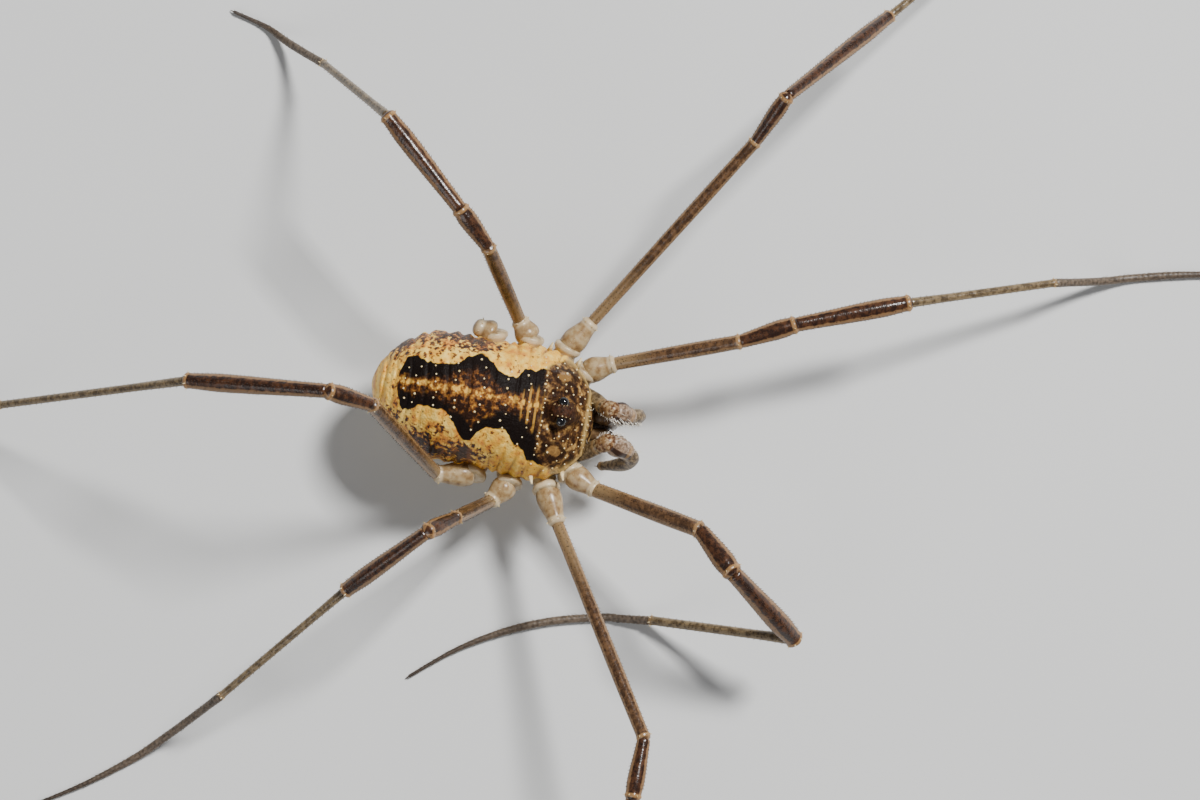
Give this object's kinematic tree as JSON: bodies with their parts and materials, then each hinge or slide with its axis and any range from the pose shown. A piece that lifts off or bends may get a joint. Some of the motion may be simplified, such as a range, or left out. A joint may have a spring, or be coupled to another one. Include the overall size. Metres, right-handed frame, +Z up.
{
  "type": "harvestman",
  "caption": "Life-size still model of a female harvestman standing on a flat floor with long bent legs, one hind leg shed, a dark wavy saddle on its pale back and two short feelers.",
  "frame": {"origin": "on the floor, below the middle of the whole animal with its legs", "axes": "+Z up, the animal's head looks along -Y, its left side is +X"},
  "size_m": [0.0676, 0.0504, 0.0098],
  "materials": {
    "back_skin": "satin, granular, yellow with a black saddle",
    "carapace": "satin, mottled brown and tan with pale granules",
    "eye_hill": "satin brown",
    "eye": "gloss black",
    "coxa_pale": "satin, waxy pale beige",
    "leg_brown": "satin brown with pale lengthwise ridges",
    "foot_grey": "satin grey-brown, finely ringed",
    "palp": "satin grey-tan with dark stripes",
    "mouthpart": "satin tan with dark finger tips"
  },
  "bodies": {
    "root": {"opisthosoma": "back_skin", "prosoma": "carapace", "ocularium": "eye_hill", "eye_L": "eye", "eye_R": "eye", "pedipalp_L_femur": "palp", "pedipalp_L_patella": "palp", "pedipalp_L_tibia": "palp", "pedipalp_L_tarsus": "palp", "pedipalp_R_femur": "palp", "pedipalp_R_patella": "palp", "pedipalp_R_tibia": "palp", "pedipalp_R_tarsus": "palp", "chelicera_L_base": "mouthpart", "chelicera_L_hand": "mouthpart", "chelicera_R_base": "mouthpart", "chelicera_R_hand": "mouthpart", "leg_L1_trochanter": "coxa_pale", "leg_L1_femur": "leg_brown", "leg_L1_patella": "leg_brown", "leg_L1_tibia": "leg_brown", "leg_L1_metatarsus": "foot_grey", "leg_L1_tarsus": "foot_grey", "leg_L2_trochanter": "coxa_pale", "leg_L2_femur": "leg_brown", "leg_L2_patella": "leg_brown", "leg_L2_tibia": "leg_brown", "leg_L2_metatarsus": "foot_grey", "leg_L2_tarsus": "foot_grey", "leg_L3_trochanter": "coxa_pale", "leg_L3_femur": "leg_brown", "leg_L3_patella": "leg_brown", "leg_L3_tibia": "leg_brown", "leg_L3_metatarsus": "foot_grey", "leg_L3_tarsus": "foot_grey", "leg_L4_trochanter": "coxa_pale", "leg_R1_trochanter": "coxa_pale", "leg_R1_femur": "leg_brown", "leg_R1_patella": "leg_brown", "leg_R1_tibia": "leg_brown", "leg_R1_metatarsus": "foot_grey", "leg_R1_tarsus": "foot_grey", "leg_R2_trochanter": "coxa_pale", "leg_R2_femur": "leg_brown", "leg_R2_patella": "leg_brown", "leg_R2_tibia": "leg_brown", "leg_R2_metatarsus": "foot_grey", "leg_R2_tarsus": "foot_grey", "leg_R3_trochanter": "coxa_pale", "leg_R3_femur": "leg_brown", "leg_R3_patella": "leg_brown", "leg_R3_tibia": "leg_brown", "leg_R3_metatarsus": "foot_grey", "leg_R3_tarsus": "foot_grey", "leg_R4_trochanter": "coxa_pale", "leg_R4_femur": "leg_brown", "leg_R4_patella": "leg_brown", "leg_R4_tibia": "leg_brown", "leg_R4_metatarsus": "foot_grey", "leg_R4_tarsus": "foot_grey"}
  },
  "joints": []
}
